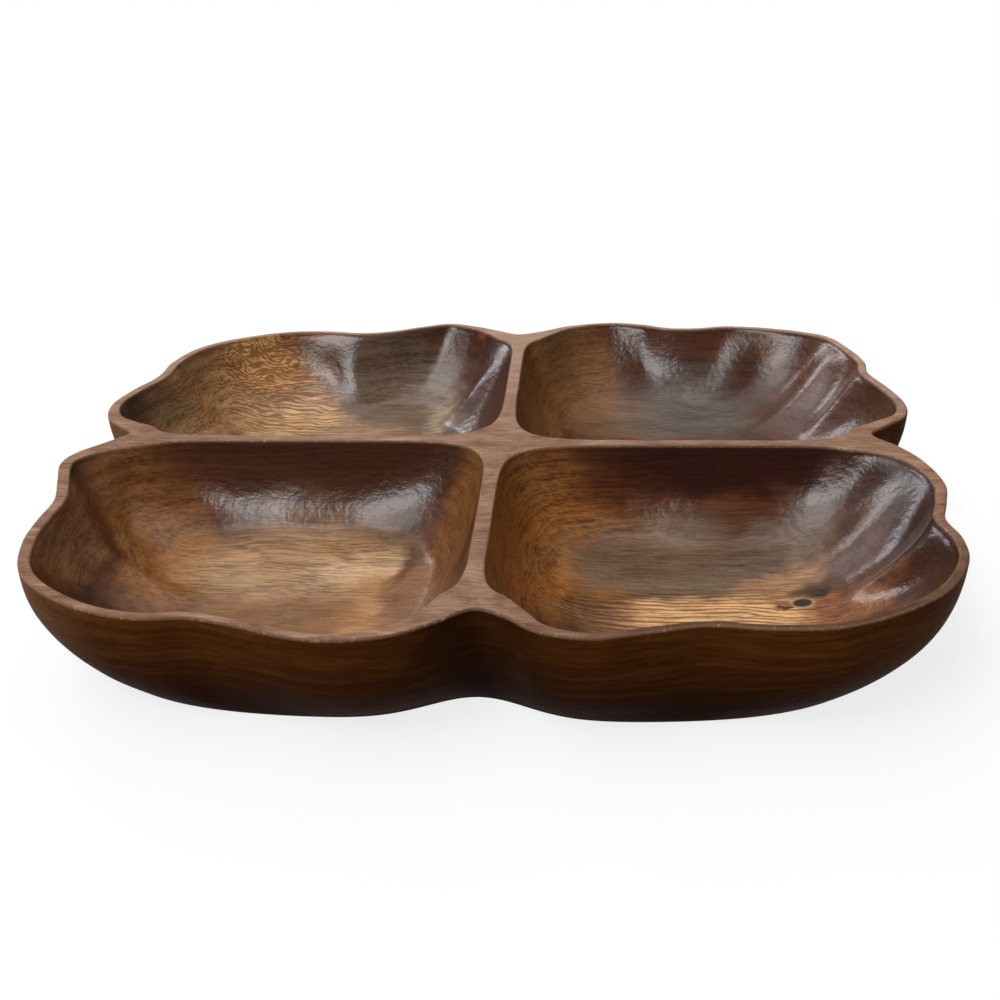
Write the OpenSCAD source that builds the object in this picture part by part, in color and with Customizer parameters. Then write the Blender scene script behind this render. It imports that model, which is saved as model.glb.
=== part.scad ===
// Four-compartment wooden serving tray.
// The blank is edge-glued from boards whose grain runs left to right. The outside is carved to a
// scalloped flare, and four basins are scooped into it, which leaves a rim and a cross of ribs.
// +X is to the right, +Y to the back, +Z up. The origin is under the middle, on the table.

/* [Tray] */
// Overall width, left to right
tray_w = 400; // [340:5:460]
// Overall depth, front to back
tray_d = 366; // [310:2:420]
// Overall height
tray_h = 50; // [42:1:64]

/* [Rim and ribs] */
// Width of the flat rim on top of the outer wall
rim_w = 5.5; // [4.5:0.5:9]
// Width of the dividing ribs at their top
rib_w = 7; // [5:0.5:12]
// Radius worn onto the edges of the rim and ribs
edge_r = 1.2; // [0.6:0.1:2]
// How far the front part of the long rib stands off the middle, to the right
front_rib_x = 1.5; // [-4:0.5:4]
// How far the back part of the long rib stands off the middle, to the right
back_rib_x = 5; // [-4:0.5:8]
// How far the left part of the cross rib stands off the middle, to the back
left_rib_y = -3.5; // [-8:0.5:4]
// How far the right part of the cross rib stands off the middle, to the back
right_rib_y = -9; // [-12:0.5:4]

/* [Outside] */
// Width of the flat foot
foot_w = 336; // [300:2:360]
// Depth of the flat foot, front to back
foot_d = 316; // [280:1:330]
// How far the foot stands off the middle, to the right
foot_x = 2; // [-5:0.5:5]
// Depth of the dents in the foot under the four clefts
foot_dent = 15; // [8:1:20]
// Width of each of those dents, where it has faded
foot_dent_w = 52; // [36:2:72]

/* [Basins] */
// Thickness of the wood under the deepest point of a basin
floor_t = 11; // [8:0.5:16]
// How far a basin's walls slope in before they meet its floor
basin_run = 32; // [24:1:38]
// How much further its outer walls slope in than its middle does, and its ribs less
basin_lean = 5; // [0:1:8]
// How much deeper the middle of a basin is than the edge of its floor
floor_dish = 2.5; // [1:0.5:5]
// Height of the tallest crest left between two scoops of the gouge
crest_h = 5; // [1:0.5:7]
// How far the foot of a wall sweeps in over the floor where it sweeps in the most
sweep_run = 24; // [6:1:30]

/* [Blank] */
// Width of each of the three inner boards
board_w = 70; // [60:1:80]

/* [Hidden] */

half_w = tray_w / 2;
half_d = tray_d / 2;
basin_depth = tray_h - floor_t;
// Overrun of every cut past the wood
over = 3;

// The rim's outer edge, anticlockwise from the cleft at the front, as shares of half the width and
// half the depth. Each lobe runs cleft, bulge, notch, corner, notch, bulge.
front_right_shares = [[0.015, -0.88], [0.07, -0.905], [0.13, -0.96], [0.22, -0.98], [0.32, -0.955],
    [0.415, -0.93], [0.525, -0.94], [0.64, -0.93], [0.75, -0.875], [0.85, -0.785], [0.915, -0.665],
    [0.93, -0.565], [0.92, -0.475], [0.945, -0.385], [0.965, -0.285], [0.95, -0.155], [0.915, -0.06]];
back_right_shares = [[0.875, 0.01], [0.92, 0.07], [0.98, 0.14], [1, 0.24], [0.985, 0.36],
    [0.96, 0.485], [0.97, 0.59], [0.95, 0.72], [0.915, 0.83], [0.84, 0.895], [0.74, 0.935],
    [0.64, 0.955], [0.54, 0.935], [0.46, 0.94], [0.38, 0.98], [0.275, 1], [0.165, 0.965], [0.09, 0.91]];
back_left_shares = [[0.02, 0.875], [-0.045, 0.92], [-0.11, 0.965], [-0.19, 1], [-0.28, 0.965],
    [-0.37, 0.915], [-0.45, 0.9], [-0.56, 0.92], [-0.675, 0.915], [-0.77, 0.875], [-0.86, 0.81],
    [-0.92, 0.725], [-0.95, 0.6], [-0.95, 0.47], [-0.98, 0.36], [-1, 0.24], [-0.975, 0.13],
    [-0.925, 0.065]];
front_left_shares = [[-0.885, 0.015], [-0.92, -0.045], [-0.965, -0.115], [-0.98, -0.185],
    [-0.95, -0.285], [-0.915, -0.395], [-0.91, -0.49], [-0.9, -0.6], [-0.86, -0.73], [-0.79, -0.82],
    [-0.685, -0.895], [-0.575, -0.93], [-0.48, -0.925], [-0.38, -0.955], [-0.29, -0.99], [-0.21, -1],
    [-0.12, -0.98], [-0.045, -0.93]];
rim_shares = concat(front_right_shares, back_right_shares, back_left_shares, front_left_shares);

// Rings down the outer wall, and how late it turns in towards the foot
wall_steps = 7;
wall_power = 2.3;
// How square the foot's corners are
foot_power = 4.2;
// A basin's wall from the rim down: share of the depth, then share of the run
basin_shares = [[0.2, 0.1], [0.42, 0.25], [0.62, 0.43], [0.78, 0.62], [0.9, 0.81], [1, 1]];
// Rings across a basin's floor, as shares of the way from its middle to its edge
floor_shares = [0.72, 0.36];
// Steps of the curve between two points of the rim
curve_steps = 3;
// Points round a basin
basin_points = 84;
// How sharply a basin turns its corners
corner_power = 7;
// How many neighbours each way the averaging takes in that fades the scallops towards a basin's floor
floor_reach = 7;
// Crests down the walls, for each basin: bearing at the rim, bearing at the floor and half the width,
// all in degrees, then height as a share of the tallest
front_right_crest_shares = [[37, 37, 8, 1], [-1, 9, 7, 0.72], [-30, -24, 8, 0.44]];
back_right_crest_shares = [[34, 24, 8, 1], [3, -4, 7, 0.72], [66, 72, 10, 0.88], [114, 113, 9, 0.72]];
back_left_crest_shares = [[33, 22, 8, 0.88], [56, 52, 9, 0.68], [103, 84, 12, 0.68], [178, 182, 8, 0.56]];
front_left_crest_shares = [[139, 166, 7, 0.88], [157, 176, 7, 0.72], [250, 252, 9, 0.32],
    [296, 300, 9, 0.28]];
// Sweeps of the walls' feet, for each basin: bearing and half the width in degrees, then how far they
// reach as a share of the longest
front_right_sweep_shares = [[40, 18, 1], [90, 36, 0.58], [188, 26, 0.58]];
back_right_sweep_shares = [[25, 18, 1], [188, 20, 0.33]];
back_left_sweep_shares = [[20, 18, 0.67], [188, 26, 0.5]];
front_left_sweep_shares = [[190, 34, 0.75]];
// How near the rim the crests are highest, and how near the floor the sweeps begin
crest_power = 0.7;
sweep_power = 3;

function mix(a, b, t) = a * (1 - t) + b * t;
function total(v, i = 0) = i == len(v) - 1 ? v[i] : v[i] + total(v, i + 1);

// A closed curve through points p, and its outward normals
function curve_point(a, b, c, d, t) =
    b + (c - a) * t / 2 + (a * 2 - b * 5 + c * 4 - d) * t * t / 2 + (b * 3 - a - c * 3 + d) * t * t * t / 2;
function closed_curve(p, steps) = let (n = len(p)) [
    for (i = [0:n - 1], k = [0:steps - 1])
        curve_point(p[(i + n - 1) % n], p[i], p[(i + 1) % n], p[(i + 2) % n], k / steps)];
function outward(p) = let (n = len(p)) [
    for (i = [0:n - 1]) let (v = p[(i + 1) % n] - p[(i + n - 1) % n]) [v.y, -v.x] / norm(v)];
// Each value averaged with its neighbours up to reach away, which softens what is small
function averaged(p, reach) = let (n = len(p)) [
    for (i = [0:n - 1]) total([for (k = [-reach:reach]) p[(i + k + n) % n]]) / (2 * reach + 1)];

// The rim's outer edge, stretched to reach exactly half the width and depth each way
raw_rim = closed_curve(rim_shares, curve_steps);
rim_x = [for (p = raw_rim) p.x];
rim_y = [for (p = raw_rim) p.y];
rim_middle = [max(rim_x) + min(rim_x), max(rim_y) + min(rim_y)] / 2;
rim_line = [for (p = raw_rim) [(p.x - rim_middle.x) * tray_w / (max(rim_x) - min(rim_x)),
    (p.y - rim_middle.y) * tray_d / (max(rim_y) - min(rim_y))]];
rim_normals = outward(rim_line);
rim_inside = [for (i = [0:len(rim_line) - 1]) rim_line[i] - rim_normals[i] * rim_w];
// The foot, a rounded rectangle with a soft dent under each cleft
function dent_at(place) = foot_dent * exp(-pow(place * 2 / foot_dent_w, 2));
foot_line = [for (p = rim_line) let (
    d = p / norm(p),
    reach = pow(pow(abs(d.x) * 2 / foot_w, foot_power) + pow(abs(d.y) * 2 / foot_d, foot_power),
        -1 / foot_power),
    q = d * reach)
    [foot_x + q.x - sign(q.x) * dent_at(q.y), q.y - sign(q.y) * dent_at(q.x)]];

// Rings of equal length joined to one closed solid, from the lowest ring up, each cap a fan
module loft(rings, low_tip, high_tip) {
    n = len(rings[0]);
    m = len(rings);
    sides = [for (r = [0:m - 2], i = [0:n - 1]) let (a = r * n + i, b = r * n + (i + 1) % n)
        each [[a, a + n, b], [b, a + n, b + n]]];
    low_cap = [for (i = [0:n - 1]) [m * n, i, (i + 1) % n]];
    high_cap = [for (i = [0:n - 1]) [m * n + 1, (m - 1) * n + (i + 1) % n, (m - 1) * n + i]];
    polyhedron(concat([for (r = rings) each r], [low_tip, high_tip]), concat(sides, low_cap, high_cap));
}

// The outside of the tray, from the foot up to the worn edge of the rim
function wall_ring(share) = [for (i = [0:len(rim_line) - 1])
    let (p = mix(rim_line[i], foot_line[i], pow(share, wall_power)))
    [p.x, p.y, edge_r + (tray_h - edge_r) * (1 - share)]];
function edge_ring(inset, drop) = [for (i = [0:len(rim_line) - 1])
    let (p = rim_line[i] - rim_normals[i] * inset) [p.x, p.y, tray_h - drop]];
module outside() {
    foot_ring = [for (p = foot_line) let (q = p * (1 - edge_r / half_d)) [q.x, q.y, 0]];
    rings = concat([foot_ring], [for (i = [wall_steps:-1:1]) wall_ring(i / wall_steps)],
        [edge_ring(0, edge_r), edge_ring(edge_r * 0.3, edge_r * 0.3), edge_ring(edge_r, 0)]);
    loft(rings, [0, 0, 0], [0, 0, tray_h]);
}

// How far a ray from c along d runs before it meets the line p, or no further than the tray's width
function cross2(a, b) = a.x * b.y - a.y * b.x;
function ray_reach(c, d, p) = min(concat([tray_w], [for (i = [0:len(p) - 2])
    let (a = p[i] - c, b = p[i + 1] - c, e = b - a, turn = cross2(d, e),
        reach = turn == 0 ? -1 : cross2(a, e) / turn)
    if (cross2(d, a) <= 0 && cross2(d, b) > 0 && reach > 0) reach]));
// The smaller of three reaches, turned smoothly from one to the next
function blended(a, b, c) =
    pow(pow(a, -corner_power) + pow(b, -corner_power) + pow(c, -corner_power), -1 / corner_power);

// A basin lies at side [-1 or 1, -1 or 1]. Its ribs pass at rib_x and rib_y.
function rib_x(side) = side.y < 0 ? front_rib_x : back_rib_x;
function rib_y(side) = side.x < 0 ? left_rib_y : right_rib_y;
function basin_corner(side) = [rib_x(side) + side.x * rib_w / 2, rib_y(side) + side.y * rib_w / 2];
function basin_middle(side) = (basin_corner(side) + [side.x * (half_w - rim_w), side.y * (half_d - rim_w)]) / 2;
// The rim's inner edge along that lobe, from cleft to cleft, run on past both ribs
lobe_lengths = [for (s = [front_right_shares, back_right_shares, back_left_shares, front_left_shares])
    len(s) * curve_steps];
function lobe_of(side) = side.y < 0 ? (side.x > 0 ? 0 : 3) : (side.x > 0 ? 1 : 2);
function lobe_start(lobe) = lobe == 0 ? 0 : lobe_start(lobe - 1) + lobe_lengths[lobe - 1];
function lobe_line(side) = let (
    lobe = lobe_of(side), start = lobe_start(lobe), n = len(rim_inside),
    line = [for (i = [start:start + lobe_lengths[lobe]]) rim_inside[i % n]],
    past_long_rib = [-side.x * tray_w, 0], past_cross_rib = [0, -side.y * tray_w],
    first = lobe % 2 == 0 ? past_long_rib : past_cross_rib,
    last = lobe % 2 == 0 ? past_cross_rib : past_long_rib)
    concat([line[0] + first], line, [line[len(line) - 1] + last]);
function basin_mouth(side) = let (c = basin_middle(side), q = basin_corner(side), edge = lobe_line(side)) [
    for (i = [0:basin_points - 1]) let (angle = 360 * i / basin_points, d = [cos(angle), sin(angle)])
        blended(ray_reach(c, d, edge),
            side.x * d.x < 0 ? (q.x - c.x) / d.x : tray_w,
            side.y * d.y < 0 ? (q.y - c.y) / d.y : tray_w)];
function basin_ring(c, reaches, z) = [for (i = [0:basin_points - 1])
    let (angle = 360 * i / basin_points) [c.x + reaches[i] * cos(angle), c.y + reaches[i] * sin(angle), z]];
// One in the middle of a stretch of bearings, fading to nothing on both sides of it
function bump(angle, place, width) = let (away = (angle - place + 900) % 360 - 180) exp(-pow(away / width, 2));
// How far the crests stand in from a basin's wall, and how far the wall's foot sweeps in, by bearing
crest_shares = [front_right_crest_shares, back_right_crest_shares, back_left_crest_shares,
    front_left_crest_shares];
sweep_shares = [front_right_sweep_shares, back_right_sweep_shares, back_left_sweep_shares,
    front_left_sweep_shares];
function crests_at(side, run) = let (stands = run < 1 ? sin(180 * pow(run, crest_power)) : 0) [
    for (i = [0:basin_points - 1]) let (angle = 360 * i / basin_points)
        crest_h * stands * total([for (s = crest_shares[lobe_of(side)])
            bump(angle, mix(s[0], s[1], run), s[2]) * s[3]])];
function sweeps(side) = [for (i = [0:basin_points - 1]) let (angle = 360 * i / basin_points)
    sweep_run * total([for (s = sweep_shares[lobe_of(side)]) bump(angle, s[0], s[1]) * s[2]])];
// A basin and the air over it, from the middle of its floor up past the rim
module basin(side) {
    c = basin_middle(side);
    low = c - side * basin_lean;
    mouth = basin_mouth(side);
    edge = [for (r = averaged(mouth, floor_reach)) r - basin_run];
    sweep = sweeps(side);
    wall_depth = basin_depth - floor_dish;
    last = len(basin_shares) - 1;
    floor_rings = [for (i = [len(floor_shares) - 1:-1:0]) let (s = floor_shares[i])
        basin_ring(low, (edge - sweep) * s, floor_t + floor_dish * s * s)];
    wall_rings = [for (i = [last:-1:0]) let (s = basin_shares[i])
        basin_ring(mix(c, low, s[1]),
            mix(mouth, edge, s[1]) - sweep * pow(s[1], sweep_power) - crests_at(side, s[1]),
            tray_h - edge_r - (wall_depth - edge_r) * s[0])];
    mouth_rings = [basin_ring(c, mouth, tray_h - edge_r),
        basin_ring(c, [for (r = mouth) r + edge_r * 0.3], tray_h - edge_r * 0.3),
        basin_ring(c, [for (r = mouth) r + edge_r], tray_h),
        basin_ring(c, [for (r = mouth) r + edge_r], tray_h + over)];
    loft(concat(floor_rings, wall_rings, mouth_rings), [low.x, low.y, floor_t], [c.x, c.y, tray_h + over]);
}

// The length of blank between two seams
module slab(front, back) {
    translate([-half_w - over, front, -over])
        cube([tray_w + over * 2, back - front, tray_h + over * 2]);
}

// A board of the blank, with its share of the outside and of the basins that reach it
module board(front, back, sides) {
    intersection() {
        slab(front, back);
        difference() {
            outside();
            for (side = sides) basin(side);
        }
    }
}

front_sides = [[-1, -1], [1, -1]];
back_sides = [[-1, 1], [1, 1]];

module front_board() color("saddlebrown") board(-half_d - over, -board_w * 1.5, front_sides);
module front_middle_board() color("sienna") board(-board_w * 1.5, -board_w / 2, front_sides);
module centre_board() color("peru") board(-board_w / 2, board_w / 2, concat(front_sides, back_sides));
module back_middle_board() color("sienna") board(board_w / 2, board_w * 1.5, back_sides);
module back_board() color("saddlebrown") board(board_w * 1.5, half_d + over, back_sides);

front_board();
front_middle_board();
centre_board();
back_middle_board();
back_board();
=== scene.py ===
import math

import bmesh
import bpy
import numpy as np
from mathutils import Matrix, Vector, noise


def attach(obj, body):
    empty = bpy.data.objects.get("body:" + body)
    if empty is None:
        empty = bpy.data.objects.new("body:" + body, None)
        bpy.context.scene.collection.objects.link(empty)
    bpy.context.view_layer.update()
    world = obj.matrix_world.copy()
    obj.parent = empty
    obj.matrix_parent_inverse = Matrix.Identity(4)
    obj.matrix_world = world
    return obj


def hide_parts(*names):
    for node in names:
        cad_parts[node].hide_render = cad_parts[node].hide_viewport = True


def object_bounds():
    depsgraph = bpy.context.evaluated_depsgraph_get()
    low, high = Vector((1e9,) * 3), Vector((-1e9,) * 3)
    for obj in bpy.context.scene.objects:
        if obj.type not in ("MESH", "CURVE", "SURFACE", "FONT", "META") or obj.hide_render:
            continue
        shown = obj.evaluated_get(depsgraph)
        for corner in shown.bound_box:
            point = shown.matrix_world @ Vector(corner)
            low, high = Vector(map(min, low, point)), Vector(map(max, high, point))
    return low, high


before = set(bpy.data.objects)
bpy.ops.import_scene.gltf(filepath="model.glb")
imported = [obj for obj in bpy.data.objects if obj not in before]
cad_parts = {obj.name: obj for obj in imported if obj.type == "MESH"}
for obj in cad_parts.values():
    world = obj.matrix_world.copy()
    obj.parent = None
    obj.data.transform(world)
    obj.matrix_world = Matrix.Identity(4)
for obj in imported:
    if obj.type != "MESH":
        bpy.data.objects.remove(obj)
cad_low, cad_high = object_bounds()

# The view. The camera stands in front of the tray and a little to the right, at arm's length, and
# looks down on it at 25 degrees. It was placed so that the traced rim falls where it does in the
# photograph, in a frame of 1000 by 1000 pixels.
image_px = 1000
focal_px = 1181.02
rim_middle_px = (496.7, 433.95)
rim_distance = 0.5561
look_down = math.radians(25)
look_left = math.radians(4.187)
camera_tilt = math.radians(-1.515)
rim_middle = Vector((0.001, 0.001, 0.050))

ahead = Vector((-math.sin(look_left) * math.cos(look_down), math.cos(look_left) * math.cos(look_down),
                -math.sin(look_down)))
level_right = Vector((math.cos(look_left), math.sin(look_left), 0))
level_up = level_right.cross(ahead)
right = level_right * math.cos(camera_tilt) + level_up * math.sin(camera_tilt)
up = level_up * math.cos(camera_tilt) - level_right * math.sin(camera_tilt)
aside = [(px - image_px / 2) / focal_px * rim_distance for px in rim_middle_px]
camera_place = rim_middle - ahead * rim_distance - right * aside[0] + up * aside[1]

camera_data = bpy.data.cameras.new("camera")
camera_data.sensor_width = 36
camera_data.lens = focal_px / image_px * camera_data.sensor_width
camera = bpy.data.objects.new("camera", camera_data)
camera.matrix_world = Matrix.Translation(camera_place) @ Matrix((right, up, -ahead)).transposed().to_4x4()
bpy.context.scene.collection.objects.link(camera)
bpy.context.scene.camera = camera


# The carved outside. The carver draws the rim on a blank of dark hardwood, four lobes parted by
# clefts, and hews the wall in below it to a smaller foot.

# The line of the rim, anticlockwise from the front cleft, as shares of half the width and half the
# depth. Each lobe is a cleft, a bulge, a notch, a corner, a notch and a bulge.
front_right_lobe = [
    (0.015, -0.88), (0.07, -0.905), (0.13, -0.96), (0.22, -0.98), (0.32, -0.955), (0.415, -0.93),
    (0.525, -0.94), (0.64, -0.93), (0.75, -0.875), (0.85, -0.785), (0.915, -0.665), (0.93, -0.565),
    (0.92, -0.475), (0.945, -0.385), (0.965, -0.285), (0.95, -0.155), (0.915, -0.06)]
back_right_lobe = [
    (0.875, 0.01), (0.92, 0.07), (0.98, 0.14), (1, 0.24), (0.985, 0.36), (0.96, 0.485), (0.97, 0.59),
    (0.95, 0.72), (0.915, 0.83), (0.84, 0.895), (0.74, 0.935), (0.64, 0.955), (0.54, 0.935),
    (0.46, 0.94), (0.38, 0.98), (0.275, 1), (0.165, 0.965), (0.09, 0.91)]
back_left_lobe = [
    (0.02, 0.875), (-0.045, 0.92), (-0.11, 0.965), (-0.19, 1), (-0.28, 0.965), (-0.37, 0.915),
    (-0.45, 0.9), (-0.56, 0.92), (-0.675, 0.915), (-0.77, 0.875), (-0.86, 0.81), (-0.92, 0.725),
    (-0.95, 0.6), (-0.95, 0.47), (-0.98, 0.36), (-1, 0.24), (-0.975, 0.13), (-0.925, 0.065)]
front_left_lobe = [
    (-0.885, 0.015), (-0.92, -0.045), (-0.965, -0.115), (-0.98, -0.185), (-0.95, -0.285),
    (-0.915, -0.395), (-0.91, -0.49), (-0.9, -0.6), (-0.86, -0.73), (-0.79, -0.82), (-0.685, -0.895),
    (-0.575, -0.93), (-0.48, -0.925), (-0.38, -0.955), (-0.29, -0.99), (-0.21, -1), (-0.12, -0.98),
    (-0.045, -0.93)]
lobes = [front_right_lobe, back_right_lobe, back_left_lobe, front_left_lobe]

half_w = (cad_high.x - cad_low.x) / 2
half_d = (cad_high.y - cad_low.y) / 2
tray_h = cad_high.z
# The width of the rim, and how it thins by bearing in degrees, from the right and anticlockwise
rim_w = 0.0055
rim_widths = [(0, rim_w), (40, 0.0045), (60, 0.0036), (125, 0.0036), (150, rim_w), (205, rim_w),
              (230, 0.0046), (262, 0.0044), (275, 0.0036), (300, 0.0031), (325, 0.0038), (345, rim_w)]
edge_r = 0.0012
# The foot is a rounded rectangle, squarer with a higher power, with a dent under each cleft
foot_w, foot_d, foot_x = 0.336, 0.316, 0.002
foot_power = 4.2
foot_dent, foot_dent_w = 0.015, 0.052
# The outer wall bellies out more with a higher power
wall_power = 2.3
curve_steps = 10
wall_rings = 46
edge_rings = 6


def closed_curve(points, steps):
    """A smooth closed line through the points, with the given number of steps between two of them."""
    p = np.array(points, float)
    before, after, far = np.roll(p, 1, 0), np.roll(p, -1, 0), np.roll(p, -2, 0)
    t = (np.arange(steps) / steps)[None, :, None]
    line = (p[:, None] + (after - before)[:, None] * t / 2
            + (before * 2 - p * 5 + after * 4 - far)[:, None] * t ** 2 / 2
            + (p * 3 - before - after * 3 + far)[:, None] * t ** 3 / 2)
    return line.reshape(-1, 2)


def outward(line):
    """The direction out of a closed line at each of its points, a unit long."""
    step = np.roll(line, -1, 0) - np.roll(line, 1, 0)
    return np.stack([step[:, 1], -step[:, 0]], 1) / np.linalg.norm(step, axis=1)[:, None]


def at_height(line, z):
    """The points of a line on plan, at a height."""
    return np.concatenate([line, np.full((len(line), 1), 1) * np.reshape(z, (-1, 1))], 1)


raw_rim = closed_curve(sum(lobes, []), curve_steps)
rim_span = raw_rim.max(0) - raw_rim.min(0)
rim_line = (raw_rim - (raw_rim.max(0) + raw_rim.min(0)) / 2) * [2 * half_w, 2 * half_d] / rim_span
rim_normals = outward(rim_line)
rim_bearings = np.degrees(np.arctan2(rim_line[:, 1], rim_line[:, 0]))
rim_here = np.interp(rim_bearings, *zip(*rim_widths), period=360)
rim_inside = rim_line - rim_normals * rim_here[:, None]

bearing = rim_line / np.linalg.norm(rim_line, axis=1)[:, None]
foot_reach = ((abs(bearing[:, 0]) * 2 / foot_w) ** foot_power
              + (abs(bearing[:, 1]) * 2 / foot_d) ** foot_power) ** (-1 / foot_power)
foot_line = bearing * foot_reach[:, None]
dents = foot_dent * np.exp(-(foot_line[:, ::-1] * 2 / foot_dent_w) ** 2)
foot_line = foot_line - np.sign(foot_line) * dents + [foot_x, 0]

outside_rings = [at_height(foot_line * (1 - edge_r / half_d), 0)]
for i in range(wall_rings, -1, -1):
    share = i / wall_rings
    line = rim_line + (foot_line - rim_line) * share ** wall_power
    outside_rings.append(at_height(line, edge_r + (tray_h - 2 * edge_r) * (1 - share)))
for i in range(1, edge_rings + 1):
    turn = math.pi / 2 * i / edge_rings
    line = rim_line - rim_normals * edge_r * (1 - math.cos(turn))
    outside_rings.append(at_height(line, tray_h - edge_r * (1 - math.sin(turn))))
outside_rings = np.array(outside_rings)

# The four basins. They are scooped with a gouge, from a mouth along the rim's inner edge and the two
# ribs, down walls that sweep into a gently dished floor. Crests stand between the scoops of the gouge
# and run down the walls from the notches in the rim.
rib_w = 0.007
# The middle of the long rib at the front and back, and of the cross rib at the left and right
rib_x = {-1: 0.0015, 1: 0.005}
rib_y = {-1: -0.0035, 1: -0.009}
floor_t = 0.011
floor_dish = 0.0025
# How far in from the mouth a wall comes down, and how much nearer to the crossing the floor lies
basin_run = 0.032
basin_lean = 0.005
# The corners of a mouth are crisper with a higher power
corner_power = 7
basin_points = 480
basin_wall_rings = 46
basin_floor_rings = 26
# The floor's edge is the line of the mouth, evened out over this many points to each side
floor_reach = 40
# The section of a basin's wall: its depth as a cubic of the share of its run that is left
wall_slope, wall_bow, wall_lip = 0.53, 0.09, 0.56
# The rings above and below the foot of the wall that are softened into each other, and how often
crease_above, crease_below, crease_passes = 8, 4, 14
# A crest grows from nothing at the rim, stands highest a third of the way down and dies out at the
# floor. The first power moves its highest place and the second makes it fuller.
crest_rise, crest_fullness = 0.7, 0.65
# Crests by basin: bearing at the rim and at the floor, half width in degrees, height in metres
crests = {
    (-1, -1): [(139, 166, 7, 0.0044), (157, 176, 7, 0.0036), (250, 252, 9, 0.0016),
               (296, 300, 9, 0.0014)],
    (1, -1): [(35, 28, 12, 0.0030), (-1, 4, 8, 0.0030), (-30, -24, 8, 0.0022)],
    (-1, 1): [(30, 23, 9, 0.0010), (56, 52, 9, 0.0034), (98, 79, 12, 0.0034), (178, 182, 8, 0.0028)],
    (1, 1): [(31, 25, 10, 0.0026), (3, -4, 8, 0.0028), (66, 72, 10, 0.0044), (114, 113, 9, 0.0036)],
}
# Where the foot of a wall sweeps further in over the floor: bearing, half width in degrees, how far,
# and how late, from 1 for evenly all the way down to 3 for mostly near the floor
long_sweeps = {
    (-1, -1): [(190, 34, 0.018, 3)],
    (1, -1): [(34, 18, 0.012, 3), (92, 22, 0.006, 3), (188, 26, 0.014, 3)],
    (-1, 1): [(22, 18, 0.013, 1), (188, 26, 0.012, 3)],
    (1, 1): [(25, 18, 0.014, 3), (188, 20, 0.008, 3)],
}
# Where a crest runs straight down from the rim to the floor, while the scoops beside it are hollow:
# bearing at the rim and at the floor, half width in degrees, how straight it is from 0 to 1
straight_crests = {
    (-1, -1): [(20, 27, 5, 0.4)],
    (1, -1): [(35, 28, 12, 0.9), (-1, 4, 8, 0.4)],
    (-1, 1): [(30, 23, 9, 1.0)],
    (1, 1): [(31, 25, 10, 0.9), (3, -4, 8, 0.4)],
}


def lobe_edge(side):
    """The rim's inner edge along a basin's lobe, run on past both ribs."""
    lobe = {(1, -1): 0, (1, 1): 1, (-1, 1): 2, (-1, -1): 3}[side]
    start = sum(len(points) for points in lobes[:lobe]) * curve_steps
    line = rim_inside[np.arange(start, start + len(lobes[lobe]) * curve_steps + 1) % len(rim_inside)]
    past_long_rib = np.array([-side[0] * 2 * half_w, 0])
    past_cross_rib = np.array([0, -side[1] * 2 * half_w])
    first, last = (past_long_rib, past_cross_rib) if lobe % 2 == 0 else (past_cross_rib, past_long_rib)
    return np.concatenate([[line[0] + first], line, [line[-1] + last]])


def cross(a, b):
    """How far b lies anticlockwise of a, as the area between the two on plan."""
    return a[..., 0] * b[..., 1] - a[..., 1] * b[..., 0]


def ray_reach(middle, rays, line):
    """How far each ray from the middle runs before it meets the line."""
    a, b = (line[:-1] - middle)[None], (line[1:] - middle)[None]
    d = rays[:, None]
    side_a, side_b, across = cross(d, a), cross(d, b), cross(d, b - a)
    reach = np.where(across == 0, -1, cross(a, b - a) / np.where(across == 0, 1, across))
    met = (side_a <= 0) & (side_b > 0) & (reach > 0)
    return np.where(met, reach, 2 * half_w).min(1)


def round_mean(values, reach):
    """The mean of each value and its neighbours within reach, round a closed ring of values."""
    return sum(np.roll(values, k) for k in range(-reach, reach + 1)) / (2 * reach + 1)


def bump(angle, place, half_width):
    """One in the middle of a stretch of bearings, fading to nothing on both sides of it."""
    away = (angle - place + 180) % 360 - 180
    return np.exp(-(away / half_width) ** 2)


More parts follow.
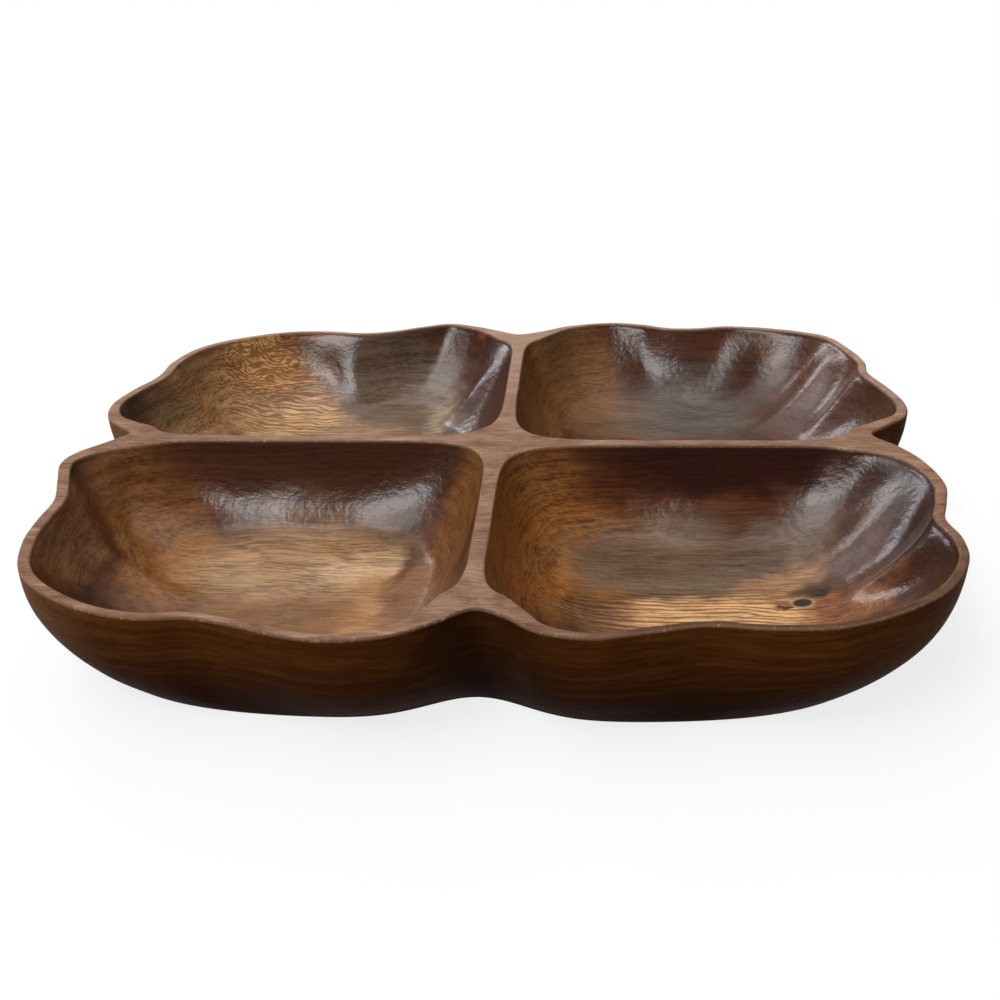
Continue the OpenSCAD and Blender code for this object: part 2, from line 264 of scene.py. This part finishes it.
def basin_rings(side):
    """Rings from the top edge of a basin's mouth down its wall and in to the middle of its floor."""
    corner = np.array([rib_x[side[1]] + side[0] * rib_w / 2, rib_y[side[0]] + side[1] * rib_w / 2])
    middle = (corner + [side[0] * (half_w - rim_w), side[1] * (half_d - rim_w)]) / 2
    low = middle - np.array(side) * basin_lean
    angle = np.arange(basin_points) * 360 / basin_points
    rays = np.stack([np.cos(np.radians(angle)), np.sin(np.radians(angle))], 1)
    reaches = [ray_reach(middle, rays, lobe_edge(side))]
    for axis in (0, 1):
        toward_rib = side[axis] * rays[:, axis] < 0
        span = np.where(toward_rib, rays[:, axis], 1)
        reaches.append(np.where(toward_rib, (corner[axis] - middle[axis]) / span, 2 * half_w))
    mouth = sum(r ** -corner_power for r in reaches) ** (-1 / corner_power)
    sweep = sum(far * bump(angle, place, width) for place, width, far, late in long_sweeps[side])
    edge = round_mean(mouth, floor_reach) - basin_run
    rings = []
    for i in range(edge_rings, 0, -1):
        turn = math.pi / 2 * i / edge_rings
        reach = mouth + edge_r * (1 - math.cos(turn))
        rings.append(at_height(middle + rays * reach[:, None], tray_h - edge_r * (1 - math.sin(turn))))
    wall_depth = tray_h - floor_t - floor_dish
    for i in range(basin_wall_rings + 1):
        run = i / basin_wall_rings
        left = 1 - run
        depth = 1 - wall_slope * left + wall_bow * left ** 2 - wall_lip * left ** 3
        stands = math.sin(math.pi * run ** crest_rise) ** crest_fullness if run < 1 else 0
        crest = sum(height * bump(angle, top + (foot - top) * run, width)
                    for top, foot, width, height in crests[side])
        swept = sum(far * bump(angle, place, width) * run ** late
                    for place, width, far, late in long_sweeps[side])
        reach = mouth + (edge - mouth) * run - swept - crest * stands
        line = middle + (low - middle) * run + rays * reach[:, None]
        straight = sum(share * bump(angle, top + (foot - top) * run, width)
                       for top, foot, width, share in straight_crests[side])
        depth = depth + (run - depth) * straight
        rings.append(at_height(line, tray_h - edge_r - (wall_depth - edge_r) * depth))
    for i in range(1, basin_floor_rings):
        share = 1 - i / basin_floor_rings
        reach = (edge - sweep) * share
        rings.append(at_height(low + rays * reach[:, None], floor_t + floor_dish * share ** 2))
    rings = np.array(rings)
    crease = edge_rings + basin_wall_rings
    for _ in range(crease_passes):
        for i in range(crease - crease_above, crease + crease_below):
            rings[i] = (rings[i - 1] + rings[i] * 2 + rings[i + 1]) / 4
    return rings, 0, np.array([*low, floor_t])


# The carved body, one piece of wood after the glue has set. One skin closes round the outside, the
# flat top of the rim and ribs, and the four basins. Small waves left by the gouge and by wear lie all
# over it, but not under the foot.
def loft(rings, outer, tip=None):
    """A skin grown ring by ring from a circle of points, as a mesh. The tip closes it at its end."""
    skin = bmesh.new()
    place = skin.verts.layers.int.new("place")
    side = skin.verts.layers.float.new("outer_side")
    ring = bmesh.ops.create_circle(skin, segments=len(rings[0]), radius=1)["verts"]
    for i, v in enumerate(ring):
        v[place], v[side], v.co = i, outer, rings[0][i]
    edges = skin.edges[:]
    for points in list(rings[1:]) + ([] if tip is None else [np.tile(tip, (len(ring), 1))]):
        grown = bmesh.ops.extrude_edge_only(skin, edges=edges)["geom"]
        ring = [v for v in grown if isinstance(v, bmesh.types.BMVert)]
        for v in ring:
            v.co = points[v[place]]
        edges = [e for e in grown if isinstance(e, bmesh.types.BMEdge) and len(e.link_faces) == 1]
    if tip is not None:
        bmesh.ops.pointmerge(skin, verts=ring, merge_co=tip)
    mesh = bpy.data.meshes.new("skin")
    skin.to_mesh(mesh)
    skin.free()
    return mesh


carved = bmesh.new()
for mesh in [loft(outside_rings, 1)] + [loft(*basin_rings(side)) for side in crests]:
    carved.from_mesh(mesh)
    bpy.data.meshes.remove(mesh)
outer_side = carved.verts.layers.float["outer_side"]
open_edges = [e for e in carved.edges if e.is_boundary]
foot_edges = [e for e in open_edges if max(v.co.z for v in e.verts) < edge_r]
top_edges = [e for e in open_edges if min(v.co.z for v in e.verts) > tray_h / 2]
bmesh.ops.triangle_fill(carved, use_beauty=True, edges=foot_edges)
bmesh.ops.triangle_fill(carved, use_beauty=True, edges=top_edges)
bmesh.ops.recalc_face_normals(carved, faces=carved.faces)

wave_size, wave_height = 0.016, 0.00022
ripple_size, ripple_height = 0.006, 0.00006
# The waves lie a little below the skin, and grow from nothing over this height above the foot
wave_sink = 0.3
calm_foot_h = 0.006
carved.normal_update()
for v in carved.verts:
    off_foot = min(v.co.z / calm_foot_h, 1)
    wave = noise.noise(v.co / wave_size) * wave_height + noise.noise(v.co / ripple_size) * ripple_height
    v.co += v.normal * (wave * off_foot - wave_height * wave_sink * off_foot)
carved.normal_update()


# The five boards of the blank, glued edge to edge before it is carved. The seams are planes that
# face front and back. Each board is the carved body between its two seams.
board_w = 0.070
seams = [-math.inf, -1.5 * board_w, -0.5 * board_w, 0.5 * board_w, 1.5 * board_w, math.inf]
board_slots = {
    "front_board": "edge_board_wood",
    "front_middle_board": "middle_board_wood",
    "centre_board": "centre_board_wood",
    "back_middle_board": "middle_board_wood",
    "back_board": "edge_board_wood",
}


def saw(body, y, keep_back):
    """Cuts the body at a seam, keeps one side of it and closes the cut face."""
    cut = bmesh.ops.bisect_plane(
        body, geom=body.verts[:] + body.edges[:] + body.faces[:], plane_co=(0, y, 0), plane_no=(0, 1, 0),
        clear_inner=keep_back, clear_outer=not keep_back)["geom_cut"]
    cut_edges = [e for e in cut if isinstance(e, bmesh.types.BMEdge)]
    for e in cut_edges:
        e.smooth = False
    bmesh.ops.triangle_fill(body, use_beauty=True, edges=cut_edges)


def board(name, front, back):
    """The piece of the carved body between two seams, in place of the plain board of that name."""
    body = carved.copy()
    for f in body.faces:
        f.smooth = True
    if front > -math.inf:
        saw(body, front, True)
    if back < math.inf:
        saw(body, back, False)
    bmesh.ops.recalc_face_normals(body, faces=body.faces)
    mesh = bpy.data.meshes.new(name + "_carved")
    body.to_mesh(mesh)
    body.free()
    piece = bpy.data.objects.new(name + "_carved", mesh)
    bpy.context.scene.collection.objects.link(piece)
    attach(piece, "root")
    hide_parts(name)
    return piece


boards = [board(name, seams[i], seams[i + 1]) for i, name in enumerate(board_slots)]


# The wood and its finish. All five boards are one dark tropical hardwood with golden, curled and
# wavy figure. It has a clear gloss lacquer in the basins and is matt outside, and hands and cloths
# have rubbed its rim dull and pale.
class Socket:
    """A socket of the shader, so that sums and products of sockets add their Math nodes."""

    def __init__(self, nodes, socket):
        self.nodes, self.socket = nodes, socket

    def __add__(self, other):
        return self.nodes.maths("ADD", self, other)

    def __radd__(self, other):
        return self.nodes.maths("ADD", other, self)

    def __sub__(self, other):
        return self.nodes.maths("SUBTRACT", self, other)

    def __rsub__(self, other):
        return self.nodes.maths("SUBTRACT", other, self)

    def __mul__(self, other):
        return self.nodes.maths("MULTIPLY", self, other)

    def __rmul__(self, other):
        return self.nodes.maths("MULTIPLY", other, self)

    def __truediv__(self, other):
        return self.nodes.maths("DIVIDE", self, other)

    def __rtruediv__(self, other):
        return self.nodes.maths("DIVIDE", other, self)

    def __pow__(self, other):
        return self.nodes.maths("POWER", self, other)

    def __rpow__(self, other):
        return self.nodes.maths("POWER", other, self)


class Nodes:
    """The node tree of a material or of the world."""

    def __init__(self, owner):
        owner.use_nodes = True
        self.tree = owner.node_tree
        self.tree.nodes.clear()

    def add(self, kind, settings=None, values=None, output=0):
        """A node of a kind. Its settings come first, then the values or links of its sockets."""
        node = self.tree.nodes.new(kind)
        for name, value in (settings or {}).items():
            if name == "stops":
                self.stops(node.color_ramp, value)
            else:
                setattr(node, name, value)
        for name, value in (values or {}).items():
            socket = node.inputs[name]
            if isinstance(value, Socket):
                self.tree.links.new(value.socket, socket)
            else:
                socket.default_value = value
        return Socket(self, node.outputs[output])

    def stops(self, ramp, stops):
        while len(ramp.elements) < len(stops):
            ramp.elements.new(0.5)
        for element, (position, colour) in zip(ramp.elements, stops):
            element.position, element.color = position, colour

    def output(self, shader, kind="Material"):
        end = self.tree.nodes.new("ShaderNodeOutput" + kind)
        self.tree.links.new(shader.socket, end.inputs["Surface"])

    def maths(self, operation, *values):
        return self.add("ShaderNodeMath", {"operation": operation}, dict(enumerate(values)))

    def sine(self, turns):
        return self.maths("SINE", turns * (2 * math.pi))

    def clamp(self, value):
        return self.add("ShaderNodeClamp", None, {0: value})

    def step(self, value, low, high):
        """Zero below low, one above high and smooth between."""
        return self.add("ShaderNodeMapRange", {"interpolation_type": "SMOOTHSTEP"},
                        {"Value": value, "From Min": low, "From Max": high, "To Min": 0.0, "To Max": 1.0})

    def noise(self, vector, scale, detail, rough=0.5, output=0):
        return self.add("ShaderNodeTexNoise", {"noise_dimensions": "3D"},
                        {"Vector": vector, "Scale": scale, "Detail": detail, "Roughness": rough}, output)

    def figure(self, vector, pitch, detail, rough):
        """A noise that repeats so often in a millimetre along, across and up through the board."""
        drawn_out = self.add("ShaderNodeMapping", {"vector_type": "POINT"},
                             {"Vector": vector, "Scale": pitch})
        return self.noise(drawn_out, 1.0, detail, rough)

    def wandering(self, vector, scale, detail, reach):
        """The vector, moved about by a slow noise that reaches so far along each axis."""
        away = self.add("ShaderNodeVectorMath", {"operation": "SUBTRACT"},
                        {0: self.noise(vector, scale, detail, output=1), 1: (0.5, 0.5, 0.5)})
        return self.add("ShaderNodeVectorMath", {"operation": "MULTIPLY_ADD"},
                        {0: away, 1: reach, 2: vector})

    def patch(self, vector, middle, size, turn=0.0, soft=0.5):
        """One inside an ellipse on plan, fading to nothing around it. Sizes in millimetres."""
        local = self.add("ShaderNodeMapping", {"vector_type": "TEXTURE"},
                         {"Vector": vector, "Location": (*middle, 0),
                          "Rotation": (0, 0, math.radians(turn)), "Scale": (*size, 1e6)})
        away = self.add("ShaderNodeVectorMath", {"operation": "LENGTH"}, {0: local}, 1)
        return 1 - self.step(away, 1 - soft, 1 + soft)

    def mix(self, factor, a, b, blend="MIX"):
        """Colour a, with b over it by the factor."""
        return self.add("ShaderNodeMix", {"data_type": "RGBA", "blend_type": blend},
                        {0: factor, 6: a, 7: b}, 2)

    def coloured(self, base, vector, patches, mask):
        """The base colour, with each patch of colour laid over it in turn inside the mask."""
        for middle, size, turn, soft, colour in patches:
            base = self.mix(self.patch(vector, middle, size, turn, soft) * mask, base, colour)
        return base


def srgb(r, g, b):
    """A colour as it is seen on the wood, 0 to 255, as the shader takes it."""
    return (*[((c / 255 + 0.055) / 1.055) ** 2.4 if c > 10 else c / 255 / 12.92 for c in (r, g, b)], 1.0)


# The colours of the wood where the carver's cut meets lighter and darker layers of it, and grey and
# pale patches that are painted sheen and painted highlights of the lacquer, in millimetres on plan:
# middle, half sizes, turn in degrees, softness, colour
wood_colours_and_painted_sheen = {
    "front_left_basin": [
        ((-158, -24), (34, 13), 4, 0.5, srgb(100, 49, 17)),
        ((-148, -62), (25, 52), 27, 0.4, srgb(146, 96, 50)),
        ((-164, -76), (6, 34), 22, 0.6, srgb(92, 50, 20)),
        ((-178, -92), (14, 40), 10, 0.4, srgb(152, 104, 66)),
        ((-126, -72), (11, 42), 18, 0.6, srgb(146, 97, 48)),
        ((-84, -62), (48, 36), 0, 0.4, srgb(178, 138, 98)),
        ((-84, -106), (44, 20), 0, 0.6, srgb(131, 86, 45)),
        ((-44, -92), (12, 32), -6, 0.6, srgb(170, 122, 74)),
        ((-56, -62), (26, 11), 8, 0.7, srgb(197, 159, 120)),
        ((-20, -68), (14, 62), -16, 0.3, srgb(124, 81, 45)),
        ((-34, -60), (4, 26), -16, 0.6, srgb(98, 58, 28)),
    ],
    "front_right_basin": [
        ((12, -75), (12, 72), 0, 0.4, srgb(162, 98, 44)),
        ((28, -66), (12, 44), 0, 0.6, srgb(160, 104, 52)),
        ((38, -27), (34, 14), -6, 0.6, srgb(151, 97, 46)),
        ((86, -21), (46, 7), -2, 0.6, srgb(99, 50, 14)),
        ((116, -13), (68, 8), 0, 0.5, srgb(58, 22, 6)),
        # The next two grey patches are dark wood with a painted sheen of the lacquer in their colour
        ((82, -58), (48, 30), 0, 0.4, srgb(117, 92, 69)),
        ((126, -50), (28, 18), 30, 0.6, srgb(117, 96, 81)),
        # A pale streak, a painted highlight that carries a crest's highlight on over the floor
        ((124, -74), (26, 8), 28, 0.6, srgb(158, 118, 82)),
        ((94, -99), (52, 15), 4, 0.3, srgb(216, 166, 112)),
        ((48, -98), (13, 20), 0, 0.6, srgb(138, 94, 52)),
        ((185, -64), (25, 54), 4, 0.4, srgb(60, 32, 21)),
        ((147, -96), (15, 15), 0, 0.5, srgb(146, 94, 56)),
        ((160, -64), (10, 26), -12, 0.6, srgb(86, 50, 33)),
    ],
    "back_left_basin": [
        ((-176, 98), (22, 52), 8, 0.5, srgb(172, 124, 78)),
        ((-182, 72), (9, 14), 0, 0.6, srgb(150, 114, 78)),
        # A grey patch, brown wood with a painted sheen of the lacquer in its colour
        ((-66, 126), (40, 46), 0, 0.4, srgb(118, 96, 79)),
        ((-137, 126), (34, 42), 24, 0.25, srgb(186, 137, 87)),
        ((-146, 149), (20, 12), 0, 0.6, srgb(222, 168, 108)),
        ((-118, 106), (24, 30), 12, 0.5, srgb(210, 168, 118)),
        ((-84, 98), (24, 13), 10, 0.7, srgb(167, 135, 102)),
        ((-126, 168), (30, 8), -4, 0.5, srgb(134, 88, 48)),
        # A pale spot, a painted highlight
        ((-42, 114), (7, 20), -6, 0.7, srgb(158, 138, 114)),
        ((-12, 120), (13, 50), 0, 0.4, srgb(70, 36, 21)),
        ((-17, 167), (3, 9), 0, 0.5, srgb(128, 68, 36)),
    ],
    "back_right_basin": [
        ((18, 110), (13, 70), 0, 0.4, srgb(145, 95, 45)),
        ((44, 138), (22, 46), 12, 0.4, srgb(127, 85, 48)),
        ((78, 112), (22, 26), 0, 0.6, srgb(129, 99, 72)),
        # A grey patch, brown wood with a painted sheen of the lacquer in its colour
        ((104, 122), (34, 34), 0, 0.5, srgb(104, 92, 82)),
        ((106, 170), (24, 12), 0, 0.5, srgb(91, 53, 35)),
        ((152, 160), (8, 18), 6, 0.4, srgb(104, 58, 28)),
        ((146, 142), (16, 13), 0, 0.5, srgb(78, 42, 23)),
        ((170, 108), (27, 38), 0, 0.5, srgb(92, 58, 44)),
    ],
}
# The knot, a pale ring round a dark heart, and the dark streaks beside it
knot_place = (131, -89)
knot = [
    (knot_place, (4.9, 4.1), 20, 0.2, srgb(190, 154, 108)),
    (knot_place, (4.1, 3.2), 20, 0.2, srgb(56, 44, 32)),
]
knot_streaks = [
    ((140, -82.5), (7.5, 2.9), 32, 0.5, srgb(54, 36, 26)),
    ((120.5, -94), (4.4, 1.7), -12, 0.4, srgb(88, 52, 26)),
]
# The wood of the basins between the patches
basin_brown = srgb(78, 42, 18)
# The outside, from foot to top, darker towards the foot as a painted shade under its bellied wall;
# its streaks; its left end, paler end grain with painted light on the lit left side; and the front
# cleft, a painted shadow; each with where it is
outer_foot_painted_shade, outer_top, outer_shade_z = srgb(48, 19, 4), srgb(92, 49, 17), (4, 42)
outer_streak, streaks_z, streaks_cover = srgb(128, 82, 38), (10, 34), 0.5
left_end_grain_and_light, left_end_x, left_end_cover = srgb(152, 112, 80), (-125, -195), 0.85
front_cleft_painted_shadow, cleft_shadow_place, cleft_shadow_cover = srgb(34, 14, 4), ((8, -172), (24, 40), 0, 0.6), 0.6
# What the figure does to the colour where it is darkest and palest, and where it is ruddy and grey
dark_tint, pale_tint = (0.44, 0.34, 0.26, 1), (1.40, 1.44, 1.46, 1)
ruddy_tint, grey_tint = (1.08, 0.96, 0.88, 1), (0.93, 1.03, 1.10, 1)
# The rubbed rim and its worn edges, from dark to pale, with where it is palest and darkest
rubbed_stops = [(0.0, srgb(92, 60, 44)), (0.5, srgb(154, 116, 94)), (1.0, srgb(200, 162, 134))]
pale_rim, pale_rim_y, pale_rim_cover = srgb(200, 170, 148), (-60, 170), 0.5
dark_rim, dark_rim_place, dark_rim_cover = srgb(84, 52, 34), ((120, -150), (80, 40), 20, 0.5), 0.75
worn_edge, worn_edge_cover, worn_edge_chips = srgb(188, 154, 126), 0.35, 0.6
worn_top, worn_top_cover = srgb(196, 162, 136), 0.35

# Where the figure curls, and where it runs in long waves
curled_place = ((-134, 130), (34, 44), 24, 0.25)
waved_place = ((84, -99), (50, 19), 3, 0.35)
# How often each kind of figure repeats in a millimetre along, across and up through the board
streak_pitch = (0.014, 0.10, 0.30)
band_pitch = (0.010, 0.035, 0.30)
fibre_pitch = (0.07, 0.75, 0.75)
pore_pitch = (0.22, 1.9, 1.9)
cloud_pitch = (0.05, 0.12, 0.3)
swirl_pitch = (0.05, 0.09, 0.06)
wave_bend_pitch = (0.02, 0.07, 0.06)
brush_pitch = (0.5, 1.1, 1.1)
chips_per_mm, ripples_per_mm = 0.55, 0.30
# Lines of the figure: the thickness of a growth layer, how close curls and waves follow each other,
# and how many lines' width they bend, the curls more on the wall
layer_mm, layer_bend = 2.6, 6
curls_per_mm, curls_per_mm_up, curl_bend, curl_bend_on_wall = 0.26, 0.10, 4, 8
waves_per_mm, wave_bend = 0.31, 4
# How the grain and the edges of the colours wander: how often in a millimetre, how finely, and how
# far along each axis in millimetres
grain_drift = (0.018, 2, (40, 14, 8))
colour_drift = (0.07, 4, (22, 18, 0))
# How much each kind of figure shades the wood, with what pale wood adds to it, about a middle shade
band_shade, pore_shade, curl_shade, wave_shade = 1.7, 0.5, 0.6, 0.8
fibre_shade, fibre_shade_pale = 1.4, 1.9
layer_shade, layer_shade_pale = 0.14, 0.25
middle_shade, cloud_shade = 0.62, 2.6
# How much calmer the fibres are on end grain, and shades and clouds on the outside
calm_ends, calm_outer_shade, calm_outer_clouds = 0.6, 0.40, 0.6
# The heights in millimetres between which the flat of the rim and its rounded edge begin
rim_top_z, rim_edge_z = (48.8, 49.5), (48.3, 49.4)

# The finish: gloss lacquer in the basins, matt wood outside and on the rim, and the marks of the brush
gloss_roughness, gloss_ior = 0.24, 1.5
matt_roughness, matt_ior, matt_specular = 0.6, 1.1, 0.1
dull_edge, dull_outer = 0.5, 0.98
brushed_strength, brushed_depth, brushed_along = 0.7, 0.00035, 0.35


def lacquered_wood(name):
    material = bpy.data.materials.new(name)
    n = Nodes(material)
    place_m = n.add("ShaderNodeTexCoord", None, None, "Object")
    mm = n.add("ShaderNodeVectorMath", {"operation": "SCALE"}, {0: place_m, "Scale": 1000.0})
    x, y, z = [n.add("ShaderNodeSeparateXYZ", None, {0: mm}, axis) for axis in range(3)]
    normal = n.add("ShaderNodeNewGeometry", None, None, "Normal")
    end_facing, up_facing = [n.add("ShaderNodeSeparateXYZ", None, {0: normal}, axis) for axis in (0, 2)]
    outer = n.step(n.add("ShaderNodeAttribute", {"attribute_name": "outer_side"}, None, "Fac"), 0.4, 0.6)
    inner = 1 - outer
    end_grain = n.step(n.maths("ABSOLUTE", end_facing), 0.25, 0.85)

    # The board drifts a little from straight grain, and the edges of the colours wander.
    grain = n.wandering(mm, *grain_drift)
    near = n.wandering(mm, *colour_drift)

    # The colour of the layers that the cut has met, with painted sheen and painted highlights laid into
    # it in the basins. The outside is darker towards the foot as a painted shade under its bellied wall,
    # streaked below the rim, pale at the left end, partly end grain and partly painted light, and dark in
    # the front cleft with a painted shadow.
    streaks = n.step(n.figure(grain, streak_pitch, 5, 0.7), 0.40, 0.72)
    outer_wood = n.mix(n.step(z, *outer_shade_z), outer_foot_painted_shade, outer_top)
    outer_wood = n.mix(streaks * n.step(z, *streaks_z) * streaks_cover, outer_wood, outer_streak)
    outer_wood = n.mix(n.step(x, *left_end_x) * left_end_cover, outer_wood, left_end_grain_and_light)
    outer_wood = n.mix(n.patch(near, *cleft_shadow_place) * cleft_shadow_cover, outer_wood, front_cleft_painted_shadow)
    base = n.mix(outer, basin_brown, outer_wood)
    for patches in wood_colours_and_painted_sheen.values():
        base = n.coloured(base, near, patches, inner)

    # Growth layers, thin in height and long along the board, with fibres and open pores in them. Where
    # a wall cuts through the layers, they show as lines that run round the basin.
    bands = n.figure(grain, band_pitch, 4, 0.62)
    fibres = n.figure(grain, fibre_pitch, 5, 0.68)
    pores = n.figure(mm, pore_pitch, 2, 0.5)
    cloudy = n.figure(grain, cloud_pitch, 5, 0.65)
    wall = 1 - n.step(up_facing, 0.80, 0.97)
    layers = n.step(n.sine(z / layer_mm + bands * layer_bend), 0.1, 0.9) * wall

    # Curled figure in the pale wood of the back left basin, and long wavy lines in the front right one,
    # which bend round the knot
    curled = n.patch(near, *curled_place) * inner
    swirl = n.figure(mm, swirl_pitch, 1.5, 0.5)
    bend = swirl * (curl_bend + n.step(z, 18, 34) * curl_bend_on_wall)
    curls = n.step(n.sine(y * curls_per_mm + z * curls_per_mm_up + bend), -0.1, 0.7)
    waved = n.patch(near, *waved_place) * inner
    to_knot = n.patch(mm, knot_place, (16, 12), 20, 0.9)
    past_knot = (y - knot_place[1]) * (1 - to_knot * 0.6)
    bend = n.figure(mm, wave_bend_pitch, 2, 0.5) * wave_bend
    waves = n.step(n.sine(past_knot * waves_per_mm + bend), 0.0, 0.9)

    # All of these darken and lighten the wood, the fibres most in pale wood, and less outside. Then
    # the wood clouds between ruddy and grey, and the knot comes on top.
    light = n.step(n.add("ShaderNodeSeparateColor", None, {0: base}, 0), 0.06, 0.40)
    fibre_depth = fibre_shade + light * fibre_shade_pale
    shade = (bands - 0.5) * band_shade + (fibres - 0.5) * fibre_depth * (1 - end_grain * calm_ends)
    shade = shade + (pores - 0.5) * pore_shade - layers * (layer_shade + light * layer_shade_pale)
    shade = shade - curled * curls * curl_shade - waved * waves * wave_shade
    shade = n.clamp(middle_shade + shade * (1 - outer * calm_outer_shade))
    base = n.mix(1.0, base, n.mix(shade, dark_tint, pale_tint), "MULTIPLY")
    hue = n.clamp((cloudy - 0.5) * cloud_shade * (1 - outer * calm_outer_clouds) + 0.5)
    base = n.mix(1.0, base, n.mix(hue, ruddy_tint, grey_tint), "MULTIPLY")
    base = n.coloured(base, mm, knot, inner)
    base = n.coloured(base, near, knot_streaks, inner)

    # The rim and ribs are rubbed dull and pale by hands and cloths, most along their edges.
    top = n.step(z, *rim_top_z) * n.step(up_facing, 0.75, 0.97)
    rubbed = n.add("ShaderNodeValToRGB", {"stops": rubbed_stops},
                   {"Fac": 0.5 + (cloudy - 0.5) * 1.6 + (fibres - 0.5) * 0.9 + (pores - 0.5) * 0.4})
    rubbed = n.mix(n.step(y, *pale_rim_y) * pale_rim_cover, rubbed, pale_rim)
    rubbed = n.mix(n.patch(near, *dark_rim_place) * dark_rim_cover, rubbed, dark_rim)
    base = n.mix(top, base, rubbed)
    edge = n.step(z, *rim_edge_z) * (1 - top)
    chipped = n.step(n.noise(mm, chips_per_mm, 3, 0.7), 0.55, 0.68)
    base = n.mix(edge * (worn_edge_cover + chipped * worn_edge_chips), base, worn_edge)
    base = n.mix(top * n.step(chipped, 0.7, 1.0) * worn_top_cover, base, worn_top)

    # The lacquer is glossy in the basins, lies in small ripples, and is dull outside and on the rim.
    brushed = n.noise(mm, ripples_per_mm, 2, 0.5) + n.figure(mm, brush_pitch, 2, 0.6) * brushed_along
    bumped = n.add("ShaderNodeBump", None,
                   {"Strength": brushed_strength, "Distance": brushed_depth, "Height": brushed})
    dull = n.clamp(top + edge * dull_edge + outer * dull_outer)
    glossy = n.add("ShaderNodeBsdfPrincipled", None,
                   {"Base Color": base, "Roughness": gloss_roughness, "Normal": bumped, "IOR": gloss_ior})
    matt = n.add("ShaderNodeBsdfPrincipled", None,
                 {"Base Color": base, "Roughness": matt_roughness, "Normal": bumped, "IOR": matt_ior,
                  "Specular IOR Level": matt_specular})
    n.output(n.add("ShaderNodeMixShader", None, {0: dull, 1: glossy, 2: matt}))
    return material


wood = lacquered_wood("lacquered_wood")
for piece in boards:
    piece.data.materials.append(wood)


# The table, which isn't part of the tray. It is a wide white floor that fades to plain white around
# the tray and keeps the tray's soft shadow under it.
floor_r = 25
floor_grey, floor_lift = 0.22, 0.81
shadow_fades = (0.30, 0.75)

floor = bpy.data.objects.new("floor", bpy.data.meshes.new("floor"))
ground = bmesh.new()
bmesh.ops.create_circle(ground, cap_ends=True, segments=64, radius=floor_r)
ground.to_mesh(floor.data)
ground.free()
bpy.context.scene.collection.objects.link(floor)
white = bpy.data.materials.new("white_floor")
n = Nodes(white)
place_m = n.add("ShaderNodeTexCoord", None, None, "Object")
away = n.add("ShaderNodeVectorMath", {"operation": "LENGTH"}, {0: place_m}, 1)
under_tray = 1 - n.step(away, *shadow_fades)
path = [n.add("ShaderNodeLightPath", None, None, kind)
        for kind in ("Is Camera Ray", "Is Glossy Ray", "Is Transmission Ray")]
seen = n.clamp(path[0] + path[1] + path[2])
lit = n.add("ShaderNodeBsdfDiffuse", None, {"Color": (floor_grey, floor_grey, floor_grey, 1)})
plain = n.add("ShaderNodeEmission", None, {"Color": (1, 1, 1, 1), "Strength": 1.0})
lift = n.add("ShaderNodeEmission", None, {"Color": (1, 1, 1, 1), "Strength": floor_lift})
unlit = n.add("ShaderNodeEmission", None, {"Color": (0, 0, 0, 1), "Strength": 0.0})
lift_seen = n.add("ShaderNodeMixShader", None, {0: seen, 1: unlit, 2: lift})
shadowed = n.add("ShaderNodeAddShader", None, {0: lit, 1: lift_seen})
n.output(n.add("ShaderNodeMixShader", None, {0: seen * (1 - under_tray), 1: shadowed, 2: plain}))
floor.data.materials.append(white)


# The light, which isn't part of the tray either: a dim white room with four soft lights. Each has its
# bearing from the back and its height in degrees, its half width and half height as sines of angles,
# its softness and its strength.
room_strength = 0.1
soft_lights = [
    (-140, 52, 0.27, 0.17, 0.35, 7.5),
    (-95, 66, 0.36, 0.22, 0.6, 3.4),
    (-24, 62, 0.43, 0.50, 0.8, 1.02),
    (-34, 29, 0.085, 0.20, 0.4, 7.5),
]
light_colour = (0.97, 0.98, 1, 1)
horizon_h = 0.06

world = bpy.data.worlds.new("studio")
bpy.context.scene.world = world
n = Nodes(world)
direction = n.add("ShaderNodeTexCoord", None, None, "Generated")
height = n.add("ShaderNodeSeparateXYZ", None, {0: direction}, 2)


def toward(bearing_deg, height_deg):
    """The direction from the tray to a place at a bearing from the back and a height, in degrees."""
    a, e = math.radians(bearing_deg), math.radians(height_deg)
    return Vector((math.sin(a) * math.cos(e), math.cos(a) * math.cos(e), math.sin(e)))


def glow_from(bearing_deg, height_deg, half_width, half_height, soft):
    """One inside a soft oval of the sky, fading to nothing around it."""
    middle = toward(bearing_deg, height_deg)
    sideways = Vector((0, 0, 1)).cross(middle).normalized()
    upward = middle.cross(sideways)
    parts = [n.add("ShaderNodeVectorMath", {"operation": "DOT_PRODUCT"}, {0: direction, 1: axis}, 1)
             for axis in (sideways / half_width, upward / half_height, middle)]
    away = (parts[0] ** 2 + parts[1] ** 2) ** 0.5
    return (1 - n.step(away, 1 - soft, 1 + soft)) * n.step(parts[2], 0.0, 0.1)


strength = room_strength
for *place, brightness in soft_lights:
    strength = strength + glow_from(*place) * brightness
horizon = 1 - n.step(height, 0.0, horizon_h)
seen_directly = n.add("ShaderNodeLightPath", None, None, "Is Camera Ray")
strength = n.maths("MAXIMUM", strength * (1 - horizon) + horizon, seen_directly)
n.output(n.add("ShaderNodeBackground", None, {"Color": light_colour, "Strength": strength}), "World")

bpy.context.scene.view_settings.view_transform = "Standard"
